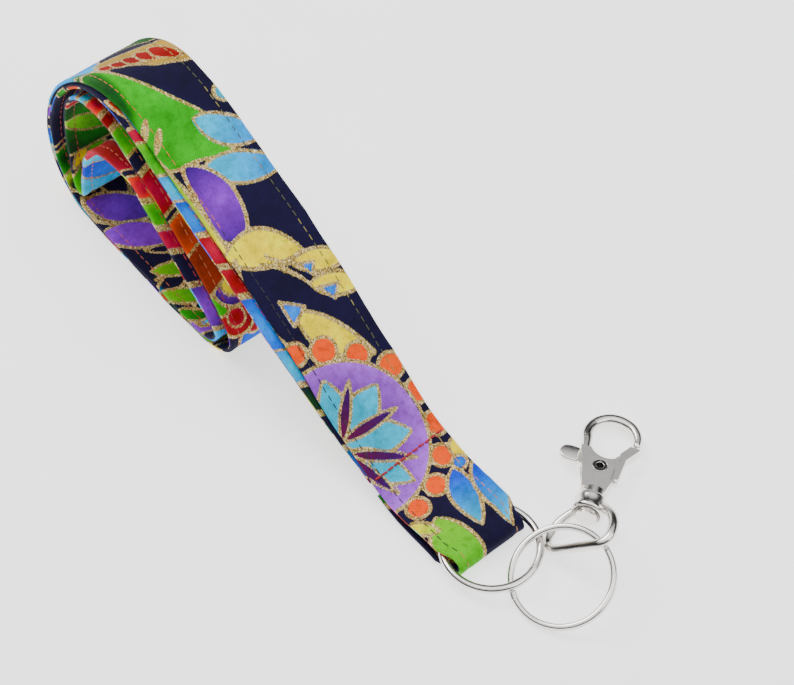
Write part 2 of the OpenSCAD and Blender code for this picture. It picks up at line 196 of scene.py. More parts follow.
# each row: shape, colour at its start, colour at its end, gold line's width
FRONT = [
    # round the top of the roll
    (poly(rounded([(232, -13), (206, -13), (203, -6), (214, 0), (212, 6), (236, 6)])), SKY, CYAN, 0.9),
    (poly([(240, 2), (212, 2), (198, 14), (240, 14)]), DKGREEN, (0.02, 0.16, 0.03), 0.9),
    (poly([(206, -6), (204.5, -1), (197, 14), (184, 14), (189, 4), (199, -6)]), (0.50, 0.36, 0.12), (0.50, 0.36, 0.12), 1.0),
    (leaf((202, -6.5), (196.5, -2.4), 3.4, 0.6), RED, RED, 0.9),
    (leaf((200.5, -3.4), (193.8, 1.0), 3.6, 0.8), RED, RED, 0.9),
    (leaf((199.5, -0.2), (191.8, 4.4), 3.8, 0.9), RED, RED, 0.9),
    (leaf((198.6, 3.4), (189.8, 7.8), 4.2, 1.0), RED, RED, 0.9),
    (leaf((197.6, 7.2), (187.4, 11.6), 5.0, 1.1), RED, RED, 0.9),
    # the big leaf
    (poly(rounded([(203, -9), (190, -4.6), (178, 0.6), (170, 5), (166, 3.6), (160, 6.5), (157.5, 4.5), (160, -4), (162, -12.5), (175, -14), (196, -14)])), GREEN, (0.10, 0.50, 0.02), 1.1),
    (poly(rounded([(206, -14), (203, -7), (186, -7.5), (176, -10.5), (170, -14)])), DKGREEN, (0.03, 0.22, 0.02), 0.0),
    (leaf((176, -9), (170, -14), 1.2), PALEYEL, PALEYEL, 1.0),
    (leaf((172, -7.5), (167, -12), 1.2), PALEYEL, PALEYEL, 1.0),
    (disc((172.5, 13.0), 2.6), CYAN, TURQ, 1.2),
    (leaf((170, 1.6), (157, 16), 8.5, 1.0), CYAN, SKY, 1.1),
    (leaf((157.5, -3.6), (148, 16), 9.0, 0.5), CYAN, SKY, 1.1),
    # the purple petal
    (poly(rounded([(160, -8.6), (157.4, -3.4), (150.5, -0.4), (142, -1.6), (136.4, -5.4), (138.5, -11), (148, -10.6)])), LILAC, PURPLE, 1.25),
    (leaf((168, -13.5), (132, -11.5), 4.2, 0.8), LIME, YELLOW, 1.0),
    # yellow petals and buds
    (leaf((134.5, -13), (126.2, 5.8), 10.5, -1.6), YELLOW, PALEYEL, 1.25),
    (leaf((124.6, 1.4), (118.6, 16), 6.2, 0.0), YELLOW, YELLOW, 1.15),
    (poly([(123.8, 2.2), (122.2, 6.6), (119.4, 4.4)]), SKY, BLUE, 1.0),
    (leaf((117.6, 2.4), (110.4, 16), 6.2, 0.0), YELLOW, YELLOW, 1.15),
    (poly([(116, 3.4), (114.2, 9.2), (111.0, 6.2)]), SKY, BLUE, 1.0),
    (leaf((113.4, -5.2), (93.6, 7.6), 8.4, 1.4), YELLOW, PALEYEL, 1.2),
    (poly([(118, -7.6), (113.6, -2.2), (110.6, -7.6)]), SKY, BLUE, 1.1),
    # scallops round the disc
    (disc((104.4, -11.4), 3.1), ORANGE, ORANGE, 1.2),
    (disc((101.4, -4.2), 3.6), ORANGE, ORANGE, 1.2),
    (disc((95.8, 3.0), 3.4), ORANGE, ORANGE, 1.2),
    (disc((88.6, 9.4), 3.6), ORANGE, ORANGE, 1.2),
    (disc((79.4, 12.4), 3.4), ORANGE, ORANGE, 1.2),
    (disc((69.6, 11.4), 3.4), ORANGE, ORANGE, 1.2),
    (disc((61.4, 7.2), 3.2), ORANGE, ORANGE, 1.2),
    (disc((55.6, 0.4), 3.2), ORANGE, ORANGE, 1.2),
    (disc((53.2, -7.6), 3.2), ORANGE, ORANGE, 1.2),
    (disc((77.6, -11.6), 21.6), (0.05, 0.012, 0.16), (0.52, 0.24, 0.80), 1.2),
    # the star of kites in it
    (leaf((79, -12), (95, -8.6), 8.5), TURQ, CYAN, 1.1),
    (leaf((79, -12), (86.5, 3.4), 9.5), TURQ, CYAN, 1.1),
    (leaf((78, -12.5), (71.5, 4.6), 9.5), TURQ, CYAN, 1.1),
    (leaf((76, -13.5), (60.2, -3.2), 8.0), TURQ, CYAN, 1.1),
    (leaf((79, -13), (91.5, -2.6), 3.0), PLUM, PURPLE, 0.9),
    (leaf((79, -13), (78.6, 4.8), 3.0), PLUM, PURPLE, 0.9),
    (leaf((76, -14), (64.8, 1.6), 3.0), PLUM, PURPLE, 0.9),
    (leaf((76, -14), (59.6, -8.6), 3.0), PLUM, PURPLE, 0.9),
    # petals by the O-ring
    (disc((60.6, 12.8), 3.2), YELLOW, YELLOW, 1.1),
    (disc((57.2, 9.6), 2.0), SKY, BLUE, 1.0),
    (leaf((56.8, 7.0), (38.8, 1.6), 7.4, 0.6), BLUE, CYAN, 1.2),
    (leaf((55.0, 12.2), (34.4, 9.0), 6.8, 0.4), BLUE, CYAN, 1.2),
    (leaf((47.6, -6.4), (24.0, -8.6), 12.0, 0.8), LIME, GREEN, 1.25),
    (leaf((50.4, -14), (44, -7.8), 4.0), YELLOW, LIME, 1.1),
    # fine stems
    (leaf((133, -11), (108, -12), 0.5, 2.6), PALEYEL, PALEYEL, 1.1),
    (leaf((130, -4), (124.4, 1.4), 0.4, 0.4), PALEYEL, PALEYEL, 1.0),
    (leaf((128.6, -6), (117.6, 2.4), 0.4, -1.0), PALEYEL, PALEYEL, 1.0),
]

# seen inside the roll: the bottom run's upper face and the innermost rise
SCALE_PAL = [
    (GREEN, LIME), (SKY, CYAN), (LILAC, PURPLE), (RED, MAGENTA), (YELLOW, PALEYEL), (ORANGE, RUST),
    (BLUE, SKY), (MAGENTA, RED), (TURQ, CYAN), (DKGREEN, GREEN), (LIME, YELLOW), (LILAC, LILAC)]


def scatter(lo, hi, seed, pal=None, tilt=None):
    """Leaves, petals and discs strewn along a stretch of the strip."""
    rng = np.random.default_rng(seed)
    rows = []
    s = lo
    while s < hi:
        a = SCALE_PAL[rng.integers(len(SCALE_PAL))] if pal is None else pal[rng.integers(len(pal))]
        v = rng.uniform(-12, 12)
        kind = rng.random()
        if kind < 0.78:
            ang = rng.uniform(0, 2 * np.pi)
            L = rng.uniform(11, 19)
            p = np.array([s, v])
            q = p + L * np.array([np.cos(ang), np.sin(ang)])
            rows.append((leaf(p, q, rng.uniform(5, 9), rng.uniform(-2, 2)), a[0], a[1], 1.15))
        else:
            r = rng.uniform(2.6, 6)
            rows.append((disc((s, v), r), a[0], a[1], 1.15))
            if r > 4:
                b = SCALE_PAL[rng.integers(len(SCALE_PAL))]
                rows.append((disc((s, v), r * 0.5), b[0], b[1], 0.9))
        s += rng.uniform(2.2, 4.6)
    return rows


def band(s0, s1, v0=-14.0, v1=-6.0, lean=3.0):
    return poly([(s0, v0), (s1, v0), (s1 + lean, v1), (s0 + lean, v1)])


# what shows of the roll's inside and of the stacked edges, on each face
OUT_IN = [
    (poly([(600, -14), (664, -14), (664, 14), (600, 14)]), NAVY, NAVY, 0.0),
    (leaf((655, -11), (638, 7), 11, 1.0), LILAC, PURPLE, 1.2),
    (leaf((642, -14), (626, 3), 10, -1.0), LILAC, LILAC, 1.2),
    (leaf((622, -10.5), (614, 6), 5.5, 0.6), LIME, GREEN, 1.1),
    (leaf((614, -14), (604, -1), 5.5, 0.4), LIME, GREEN, 1.1),
    (leaf((606, -14), (598, -6), 4.5, 0.2), GREEN, DKGREEN, 1.1),
    (poly([(482, -14), (506, -14), (503, 14), (482, 14)]), SKY, CYAN, 1.0),
    (leaf((500, -14), (486, 4), 9, 1.0), BLUE, SKY, 1.0),
    (poly([(506, -14), (532, -14), (532, 14), (503, 14)]), RED, MAGENTA, 1.1),
    (band(362, 374), RUST, RUST, 1.0), (band(374, 384), RUST, ORANGE, 1.0),
    (band(386, 398), MAGENTA, RED, 1.1), (band(399, 404), NAVY, NAVY, 0.9), (band(404, 412), GREEN, LIME, 1.0),
    (band(413, 417), RED, RED, 0.9), (band(418, 424), MAGENTA, ORANGE, 1.0),
    (band(664, 672), DKGREEN, GREEN, 1.0), (band(674, 700), NAVY, NAVY, 0.9), (band(700, 708), GREEN, DKGREEN, 1.0),
]
IN_IN = [
    (band(748, 758), GREEN, LIME, 1.0), (band(758, 766), CYAN, SKY, 1.1), (band(766, 776), SKY, BLUE, 0.9),
    (band(777, 786), MAGENTA, RED, 1.1), (band(787, 795), RED, MAGENTA, 1.0),
    (band(796, 812), SKY, BLUE, 1.1), (band(812, 822), CYAN, SKY, 1.0), (band(823, 831), DKGREEN, NAVY, 1.1),
    (band(832, 842), NAVY, NAVY, 1.0), (band(843, 852), BLUE, TEAL, 1.0),
    (poly([(444, -14), (466, -14), (466, 14), (444, 14)]), GREEN, DKGREEN, 1.0),
    (leaf((452, -13), (462, 2), 6, 0.5), LIME, GREEN, 1.0),
    (band(534, 541), MAGENTA, ORANGE, 1.0), (band(542, 549), GREEN, LIME, 1.0), (band(550, 556), MAGENTA, MAGENTA, 1.0),
    (band(557, 566), NAVY, NAVY, 0.9), (band(567, 580), LILAC, PURPLE, 1.0), (band(581, 590), SKY, CYAN, 1.0),
    (band(508, 531), RED, MAGENTA, 1.0),
    (band(326, 334), LIME, GREEN, 1.0), (band(336, 344), NAVY, NAVY, 1.0),
]


def paint(S, V, rows, ground=NAVY):
    """Fill colour and distance beyond the gold line's edge, for points of the strip."""
    col = np.tile(np.array(ground, float), (len(S), 1))
    line = np.full(len(S), 9.0)
    for f, c0, c1, w in rows:
        d, t = f(S, V)
        near = d < 4
        if not near.any():
            continue
        inside = d < 0
        t = t[:, None] ** 1.3
        c = np.array(c0, float) * (1 - t) + np.array(c1, float) * t
        if w > 0:
            col[inside] = c[inside]
        else:
            k = np.clip(-d / 3.0, 0, 1)[:, None]
            k = k * k * (3 - 2 * k)
            col = np.where(inside[:, None], col * (1 - k) + c * k, col)
        edge = np.abs(d) - 0.42 * w if w > 0 else np.full(len(S), 9.0)
        line = np.where(inside & (w > 0), edge, np.minimum(line, edge))
    return col, line


# ---------------------------------------------------------------- strap mesh
W, TH = 25.0, 1.3
STITCH_V = 9.5


def vnoise(x, y, seed=0):
    """Smooth value noise, 0 to 1."""
    def h(i, j):
        n = np.sin(i * 127.1 + j * 311.7 + seed * 74.7) * 43758.5453
        return n - np.floor(n)
    xi, yi = np.floor(x), np.floor(y)
    xf, yf = x - xi, y - yi
    u, w = xf * xf * (3 - 2 * xf), yf * yf * (3 - 2 * yf)
    return (h(xi, yi) * (1 - u) + h(xi + 1, yi) * u) * (1 - w) + (h(xi, yi + 1) * (1 - u) + h(xi + 1, yi + 1) * u) * w


def pinch(x):
    return np.where(x < 47, 1.0, 1 - 0.145 * np.minimum(1, np.maximum(0, x - 47) / 4.5))


def relief(S, V, out_face):
    """How far the cloth stands above its mean face: pulled in along the stitches, puckered between them and the edge."""
    a = np.abs(V)
    pull = -0.26 * np.exp(-((a - STITCH_V) / 0.75) ** 2) * (0.75 + 0.25 * np.cos(2 * np.pi * S / 2.5))
    swell = 0.07 * np.clip(1 - (V / 8.6) ** 2, 0, 1)
    rim = np.clip((a - STITCH_V) / 2.0, 0, 1) * 0.07
    puck = (vnoise(S / 2.3 + V / 7.0, V / 5.0, 3) - 0.5) * 0.15 * np.exp(-((a - STITCH_V) / 2.2) ** 2)
    soft = (vnoise(S / 11.0, V / 8.0, 5) - 0.5) * 0.16
    return pull + swell + rim + puck + soft


def build_strap(step=0.66, nv=33):
    s, P = centre(step)
    h = headings(P)
    n2 = np.stack([-h[:, 1], h[:, 0]], 1)
    r = 0.5
    half = W / 2
    prof = []                       # v, out, side
    for v in np.linspace(-half + r, half - r, nv):
        prof.append((v, -TH / 2, -1))
    for a in (-60, -30, 0, 30, 60):
        prof.append((half - r + r * math.cos(math.radians(a)), TH / 2 * math.sin(math.radians(a)), 0))
    for v in np.linspace(half - r, -half + r, nv):
        prof.append((v, TH / 2, 1))
    for a in (60, 30, 0, -30, -60):
        prof.append((-half + r - r * math.cos(math.radians(a)), TH / 2 * math.sin(math.radians(a)), 0))
    prof = np.array(prof)
    m, k = len(s), len(prof)
    S = np.repeat(s, k)
    V = np.tile(prof[:, 0], m)
    O = np.tile(prof[:, 1], m)
    side = np.tile(prof[:, 2], m)
    wob = (vnoise(S / 9.0, S * 0 + 2, 11) - 0.5) * 0.35 + (vnoise(S / 2.1, S * 0 + 5, 12) - 0.5) * 0.12
    Vw = V + np.sign(V) * wob * np.clip((np.abs(V) - 10) / 2.5, 0, 1)
    lift = relief(S, V, side < 0) * side
    # the folded edges: a shallow groove where the turned-in layers meet
    edge = side == 0
    groove = np.where(edge & (np.abs(O) < 0.2), 0.16, 0.0) * np.sign(V)
    O2 = O + lift
    px = np.repeat(P[:, 0], k)
    pz = np.repeat(P[:, 1], k)
    py = np.repeat(P[:, 2], k)
    nx = np.repeat(n2[:, 0], k)
    nz = np.repeat(n2[:, 1], k)
    pw = pinch(px)
    X = px + nx * O2
    Z = np.maximum(pz + nz * O2, -0.078 + 0.002)
    Y = py + (Vw - groove) * pw
    co = np.stack([X + SX, Y + SY, Z + SZ], 1) * MM
    idx = np.arange(m * k).reshape(m, k)
    a = idx[:-1]
    b = idx[1:]
    quads = np.stack([a, b, np.roll(b, -1, 1), np.roll(a, -1, 1)], -1).reshape(-1, 4)
    faces = [tuple(q) for q in quads.tolist()]
    faces.append(tuple(range(k)))
    faces.append(tuple(reversed(range((m - 1) * k, m * k))))
    me = bpy.data.meshes.new("strap_cloth")
    me.from_pydata(co.tolist(), [], faces)
    bm = bmesh.new()
    bm.from_mesh(me)
    bmesh.ops.recalc_face_normals(bm, faces=bm.faces)
    bm.to_mesh(me)
    bm.free()
    me.shade_smooth()
    # the cloth pattern on each side. The strip is one printed cloth wrapped
    # round, so the edge belongs to the nearest face.
    outer = (side < 0) | ((side == 0) & (O <= 0))
    col = np.zeros((len(S), 3))
    line = np.full(len(S), 9.0)
    # outer face of the first strand, out to the top of the roll
    mk = outer & (S < 246)
    c, l = paint(S[mk], V[mk], FRONT)
    col[mk], line[mk] = c, l
    mk = outer & (S >= 246)
    c, l = paint(S[mk], V[mk], scatter(244, 862, 21) + OUT_IN)
    col[mk], line[mk] = c, l
    mk = ~outer
    c, l = paint(S[mk], V[mk], scatter(0, 862, 8) + IN_IN)
    col[mk], line[mk] = c, l
    # slow change of the dye over the cloth
    dye = 0.82 + 0.36 * vnoise(S / 6.0, V / 5.0, 31)
    col = col * dye[:, None]
    grey = col.mean(1, keepdims=True)
    col = np.clip(grey + (col - grey) * 1.25, 0.001, 1) ** 1.28
    at = me.attributes.new("dye", "FLOAT_COLOR", "POINT")
    at.data.foreach_set("color", np.c_[col, np.ones(len(S))].astype(np.float32).ravel())
    at = me.attributes.new("gold", "FLOAT", "POINT")
    at.data.foreach_set("value", line.astype(np.float32))
    at = me.attributes.new("strip", "FLOAT_VECTOR", "POINT")
    at.data.foreach_set("vector", np.stack([S, V, side], 1).astype(np.float32).ravel())
    ob = bpy.data.objects.new("strap_cloth", me)
    bpy.context.collection.objects.link(ob)
    return ob, s, P, n2


strap, s_line, P_line, N_line = build_strap()
LENGTH = float(s_line[-1])


def on_strap(s, v, side, out):
    """A point in metres on a face of the strap. side is -1 for the outer face and 1 for the inner."""
    x = np.interp(s, s_line, P_line[:, 0])
    z = np.interp(s, s_line, P_line[:, 1])
    y = np.interp(s, s_line, P_line[:, 2])
    nx = np.interp(s, s_line, N_line[:, 0])
    nz = np.interp(s, s_line, N_line[:, 1])
    sv = np.full_like(s, v) if np.isscalar(v) else v
    o = side * (TH / 2 + relief(s, sv, side < 0) + out)
    q = np.stack([x + nx * o + SX, y + sv * pinch(x) + SY, np.maximum(z + nz * o, -0.06) + SZ], -1)
    return q * MM


def tubes(name, paths, radius, colours, sides=6, flat=1.0):
    """One mesh of many short rounded threads."""
    verts, faces, cols = [], [], []
    for path, colr in zip(paths, colours):
        m = len(path)
        tan = np.gradient(path, axis=0)
        tan /= np.linalg.norm(tan, axis=1)[:, None]
        ref = np.array([0.0, 1.0, 0.0]) if abs(tan[m // 2][1]) < 0.8 else np.array([1.0, 0.0, 0.0])
        base = len(verts)
        for i in range(m):
            u = np.cross(tan[i], ref)
            u /= np.linalg.norm(u)
            w = np.cross(tan[i], u)
            rr = radius * (0.35 if i in (0, m - 1) else 1.0)
            for k in range(sides):
                a = 2 * math.pi * k / sides
                verts.append(path[i] + (u * math.cos(a) * flat + w * math.sin(a)) * rr)
                cols.append((*colr, 1.0))
        for i in range(m - 1):
            for k in range(sides):
                k2 = (k + 1) % sides
                faces.append((base + i * sides + k, base + i * sides + k2, base + (i + 1) * sides + k2, base + (i + 1) * sides + k))
        faces.append(tuple(base + k for k in reversed(range(sides))))
        faces.append(tuple(base + (m - 1) * sides + k for k in range(sides)))
    me = bpy.data.meshes.new(name)
    me.from_pydata([tuple(v) for v in verts], [], faces)
    me.shade_smooth()
    at = me.attributes.new("dye", "FLOAT_COLOR", "POINT")
    at.data.foreach_set("color", np.array(cols, np.float32).ravel())
    ob = bpy.data.objects.new(name, me)
    bpy.context.collection.objects.link(ob)
    return ob


def stitch_row(name, v, palette, seed):
    rng = np.random.default_rng(seed)
    paths, cols = [], []
    pitch = 2.5
    n = int((LENGTH - 3) / pitch)
    for side in (-1, 1):
        for i in range(n):
            a = 1.5 + i * pitch
            u = np.linspace(0, 1, 6)
            jit = rng.uniform(-0.07, 0.07, 2)
            ss = a + 0.16 + (pitch - 0.32) * u
            vv = v + jit[0] + (jit[1] - jit[0]) * u
            out = -0.16 + 0.26 * np.sin(np.pi * u) ** 0.6
            pts = np.stack([on_strap(np.array([x]), np.array([y]), side, o)[0] for x, y, o in zip(ss, vv, out)])
            paths.append(pts)
            c = np.array(palette(a, side)) * rng.uniform(0.85, 1.15)
            cols.append(tuple(np.clip(c, 0, 1)))
    return tubes(name, paths, 0.15 * MM, cols, sides=6)


TAN, ORTH, BLK, OLV, YELT, REDT = (0.50, 0.22, 0.07), (0.60, 0.14, 0.04), (0.012, 0.010, 0.010), (0.075, 0.085, 0.022), (0.34, 0.28, 0.06), (0.42, 0.010, 0.012)


def left_pal(s, side):
    if side < 0 and s < 140:
        return BLK if s > 34 else TAN
    if side < 0 and s < 260:
        return ORTH
    return REDT if (s // 60) % 2 else ORTH


def right_pal(s, side):
    if side < 0 and s < 60:
        return TAN
    return OLV if (s // 7) % 3 else YELT


left = stitch_row("topstitch_left_thread", -STITCH_V, left_pal, 4)
rightrow = stitch_row("topstitch_right_thread", STITCH_V, right_pal, 5)

# the red row across both strands that closes the O-ring's loop
def cross_row():
    paths, cols = [], []
    rng = np.random.default_rng(9)
    s0 = float(s_line[np.argmin((P_line[:, 0] - 21.5) ** 2 + (P_line[:, 1] - 6.2) ** 2)])
    for i in range(11):
        v0 = -11.6 + i * 2.1
        u = np.linspace(0, 1, 7)
        vv = v0 + 0.1 + 1.95 * u
        out = -0.12 + 0.34 * np.sin(np.pi * u) ** 0.6
        ss = s0 + 0.9 * (v0 + 11.6) / 23.0 - 0.45 + rng.uniform(-0.08, 0.08) + 0 * u
        paths.append(np.stack([on_strap(np.array([x]), np.array([y]), -1, o)[0] for x, y, o in zip(ss, vv, out)]))
        cols.append((0.40, 0.004, 0.007))
    return paths, cols


tack_paths, tack_cols = cross_row()
tack = tubes("bar_tack_thread", tack_paths, 0.31 * MM, tack_cols, sides=8)


# ---------------------------------------------------------------- materials
def new_mat(name):
    m = bpy.data.materials.new(name)
    m.use_nodes = True
    nt = m.node_tree
    nt.nodes.clear()
    out = nt.nodes.new("ShaderNodeOutputMaterial")
    bsdf = nt.nodes.new("ShaderNodeBsdfPrincipled")
    nt.links.new(bsdf.outputs[0], out.inputs[0])
    return m, nt, bsdf


def math_node(nt, op, a, b=None, clamp=False):
    n = nt.nodes.new("ShaderNodeMath")
    n.operation = op
    n.use_clamp = clamp
    for i, v in enumerate((a, b)):
        if v is None:
            continue
        if isinstance(v, (int, float)):
            n.inputs[i].default_value = v
        else:
            nt.links.new(v, n.inputs[i])
    return n.outputs[0]


def ramp(nt, fac, stops):
    n = nt.nodes.new("ShaderNodeValToRGB")
    nt.links.new(fac, n.inputs[0])
    e = n.color_ramp.elements
    while len(e) > 1:
        e.remove(e[-1])
    e[0].position, e[0].color = stops[0][0], (*stops[0][1], 1)
    for p, c in stops[1:]:
        k = e.new(p)
        k.color = (*c, 1)
    return n.outputs[0]


def mix_rgb(nt, fac, a, b, mode="MIX"):
    n = nt.nodes.new("ShaderNodeMix")
    n.data_type = "RGBA"
    n.blend_type = mode
    for sock, v in ((n.inputs[0], fac), (n.inputs[6], a), (n.inputs[7], b)):
        if isinstance(v, (int, float)):
            sock.default_value = v
        elif isinstance(v, tuple):
            sock.default_value = (*v, 1)
        else:
            nt.links.new(v, sock)
    return n.outputs[2]


def noise(nt, vec, scale, detail=2.0, rough=0.5):
    n = nt.nodes.new("ShaderNodeTexNoise")
    n.inputs["Scale"].default_value = scale
    n.inputs["Detail"].default_value = detail
    n.inputs["Roughness"].default_value = rough
    nt.links.new(vec, n.inputs["Vector"])
    return n.outputs[0]


def cloth_material():
    m, nt, bsdf = new_mat("printed_cotton")
    strip = nt.nodes.new("ShaderNodeAttribute")
    strip.attribute_name = "strip"
    dye = nt.nodes.new("ShaderNodeAttribute")
    dye.attribute_name = "dye"
    gold = nt.nodes.new("ShaderNodeAttribute")
    gold.attribute_name = "gold"
    vec = strip.outputs["Vector"]
    sep = nt.nodes.new("ShaderNodeSeparateXYZ")
    nt.links.new(vec, sep.inputs[0])
    # plain weave: warp along the strip, weft across, a thread every 0.34 mm
    pitch = 0.36
    k = 2 * math.pi / pitch
    wx = math_node(nt, "SINE", math_node(nt, "MULTIPLY", sep.outputs[0], k))
    wy = math_node(nt, "SINE", math_node(nt, "MULTIPLY", sep.outputs[1], k))
    checker = math_node(nt, "MULTIPLY", math_node(nt, "SINE", math_node(nt, "MULTIPLY", sep.outputs[0], k / 2)),
                        math_node(nt, "SINE", math_node(nt, "MULTIPLY", sep.outputs[1], k / 2)))
    weave = math_node(nt, "ADD", math_node(nt, "MULTIPLY", math_node(nt, "ADD", wx, wy), 0.22), math_node(nt, "MULTIPLY", checker, 0.45))
    fuzz = noise(nt, vec, 3.2, 4.0, 0.65)
    weave = math_node(nt, "ADD", weave, math_node(nt, "MULTIPLY", fuzz, 0.6))
    # the dye soaks unevenly into the threads
    mott = noise(nt, vec, 0.55, 5.0, 0.62)
    tone = ramp(nt, mott, [(0.25, (0.62, 0.62, 0.62)), (0.5, (1.0, 1.0, 1.0)), (0.75, (1.22, 1.22, 1.22))])
    base = mix_rgb(nt, 1.0, dye.outputs["Color"], tone, "MULTIPLY")
    # painted shade and highlight: the colour darkens in the weave's dips and lightens on the thread tops
    thread = ramp(nt, math_node(nt, "ADD", math_node(nt, "MULTIPLY", weave, 0.5), 0.5), [(0.15, (0.60, 0.60, 0.62)), (0.62, (1.0, 1.0, 1.0)), (1.0, (1.20, 1.20, 1.18))])
    base = mix_rgb(nt, 1.0, base, thread, "MULTIPLY")
    # metallic gold print over it, broken up where the weave dips
    ragged = math_node(nt, "MULTIPLY", math_node(nt, "SUBTRACT", noise(nt, vec, 2.6, 3.0, 0.6), 0.5), 0.55)
    edge = math_node(nt, "ADD", gold.outputs["Fac"], ragged)
    mask = math_node(nt, "SUBTRACT", 1.0, math_node(nt, "MULTIPLY", math_node(nt, "ADD", edge, 0.06), 7.0), clamp=True)
    # painted glints: each glitter cell gets a gold from dark brown to pale, as flakes that miss or catch the light
    glit = nt.nodes.new("ShaderNodeTexVoronoi")
    glit.inputs["Scale"].default_value = 3.6
    nt.links.new(vec, glit.inputs["Vector"])
    spark = nt.nodes.new("ShaderNodeSeparateColor")
    nt.links.new(glit.outputs["Color"], spark.inputs[0])
    gold_painted_glints = ramp(nt, spark.outputs[0], [(0.0, (0.10, 0.055, 0.010)), (0.3, (0.33, 0.215, 0.050)), (0.7, (0.60, 0.43, 0.135)), (1.0, (0.98, 0.82, 0.42))])
    wear = math_node(nt, "GREATER_THAN", math_node(nt, "ADD", math_node(nt, "MULTIPLY", fuzz, 1.0), math_node(nt, "MULTIPLY", spark.outputs[1], 0.35)), 0.46)
    mask2 = math_node(nt, "MULTIPLY", mask, math_node(nt, "ADD", math_node(nt, "MULTIPLY", wear, 0.45), 0.55))
    colour = mix_rgb(nt, mask2, base, gold_painted_glints)
    nt.links.new(colour, bsdf.inputs["Base Color"])
    nt.links.new(math_node(nt, "MULTIPLY", mask2, 0.55), bsdf.inputs["Metallic"])
    rg = math_node(nt, "SUBTRACT", 0.84, math_node(nt, "MULTIPLY", mask2, 0.42))
    nt.links.new(rg, bsdf.inputs["Roughness"])
    bsdf.inputs["Sheen Weight"].default_value = 0.03
    bsdf.inputs["Sheen Roughness"].default_value = 0.5
    bsdf.inputs["Specular IOR Level"].default_value = 0.16
    bump = nt.nodes.new("ShaderNodeBump")
    bump.inputs["Strength"].default_value = 0.55
    bump.inputs["Distance"].default_value = 0.00012
    hgt = math_node(nt, "ADD", weave, math_node(nt, "MULTIPLY", math_node(nt, "MULTIPLY", mask2, spark.outputs[2]), 0.9))
    nt.links.new(hgt, bump.inputs["Height"])
    nt.links.new(bump.outputs[0], bsdf.inputs["Normal"])
    return m


def thread_material(name):
    m, nt, bsdf = new_mat(name)
    dye = nt.nodes.new("ShaderNodeAttribute")
    dye.attribute_name = "dye"
    geo = nt.nodes.new("ShaderNodeTexCoord")
    n = noise(nt, geo.outputs["Object"], 5200.0, 2.0, 0.5)
    tw = nt.nodes.new("ShaderNodeTexWave")
    tw.inputs["Scale"].default_value = 1500.0
    tw.inputs["Distortion"].default_value = 1.2
    nt.links.new(geo.outputs["Object"], tw.inputs["Vector"])
    # painted shade and highlight: the colour darkens in the wave's dips and lightens on its ridges, where the bump
    # sinks and rises
    tone = ramp(nt, tw.outputs[1], [(0.0, (0.55, 0.55, 0.55)), (0.5, (1.0, 1.0, 1.0)), (1.0, (1.25, 1.25, 1.25))])
    base = mix_rgb(nt, 1.0, dye.outputs["Color"], tone, "MULTIPLY")
    nt.links.new(base, bsdf.inputs["Base Color"])
    nt.links.new(math_node(nt, "ADD", math_node(nt, "MULTIPLY", n, 0.3), 0.45), bsdf.inputs["Roughness"])
    bsdf.inputs["Sheen Weight"].default_value = 0.15
    bump = nt.nodes.new("ShaderNodeBump")
    bump.inputs["Strength"].default_value = 0.5
    bump.inputs["Distance"].default_value = 0.00006
    nt.links.new(tw.outputs[1], bump.inputs["Height"])
    nt.links.new(bump.outputs[0], bsdf.inputs["Normal"])
    return m


def nickel_material(name, tint=(0.80, 0.775, 0.74), rough=0.10, scratch=1.0):
    m, nt, bsdf = new_mat(name)
    tc = nt.nodes.new("ShaderNodeTexCoord")
    mp = nt.nodes.new("ShaderNodeMapping")
    mp.inputs["Rotation"].default_value = (0.4, 0.2, 0.7)
    mp.inputs["Scale"].default_value = (1.0, 14.0, 1.0)
    nt.links.new(tc.outputs["Object"], mp.inputs["Vector"])
    fine = noise(nt, mp.outputs[0], 900.0, 3.0, 0.6)
    cloud = noise(nt, tc.outputs["Object"], 260.0, 3.0, 0.55)
    pits = nt.nodes.new("ShaderNodeTexVoronoi")
    pits.inputs["Scale"].default_value = 1400.0
    nt.links.new(tc.outputs["Object"], pits.inputs["Vector"])
    base = mix_rgb(nt, 1.0, ramp(nt, cloud, [(0.3, tuple(c * 0.93 for c in tint)), (0.7, tint)]),
                   ramp(nt, fine, [(0.35, (0.95, 0.95, 0.95)), (0.6, (1.0, 1.0, 1.0))]), "MULTIPLY")
    nt.links.new(base, bsdf.inputs["Base Color"])
    bsdf.inputs["Metallic"].default_value = 1.0
    r = math_node(nt, "ADD", rough, math_node(nt, "MULTIPLY", cloud, 0.10))
    r = math_node(nt, "ADD", r, math_node(nt, "MULTIPLY", math_node(nt, "GREATER_THAN", fine, 0.60), 0.12 * scratch))
    nt.links.new(r, bsdf.inputs["Roughness"])
    bump = nt.nodes.new("ShaderNodeBump")
    bump.inputs["Strength"].default_value = 0.06
    bump.inputs["Distance"].default_value = 0.00002
    h = math_node(nt, "ADD", math_node(nt, "MULTIPLY", fine, 0.4 * scratch), math_node(nt, "MULTIPLY", pits.outputs[0], 0.25))
    nt.links.new(h, bump.inputs["Height"])
    nt.links.new(bump.outputs[0], bsdf.inputs["Normal"])
    return m


cloth = cloth_material()
strap.data.materials.append(cloth)
thread = thread_material("sewing_thread")
for o in (left, rightrow, tack):
    o.data.materials.append(thread)
nickel = nickel_material("polished_nickel")
nickel_cast = nickel_material("cast_nickel", (0.84, 0.805, 0.755), 0.13, 0.7)
nickel_dark = nickel_material("spring_steel", (0.55, 0.54, 0.52), 0.22, 1.0)


# ---------------------------------------------------------------- hardware
def rot_x(a):
    return Matrix.Rotation(math.radians(a), 4, "X")


def rot_y(a):
    return Matrix.Rotation(math.radians(a), 4, "Y")


def rot_z(a):
    return Matrix.Rotation(math.radians(a), 4, "Z")


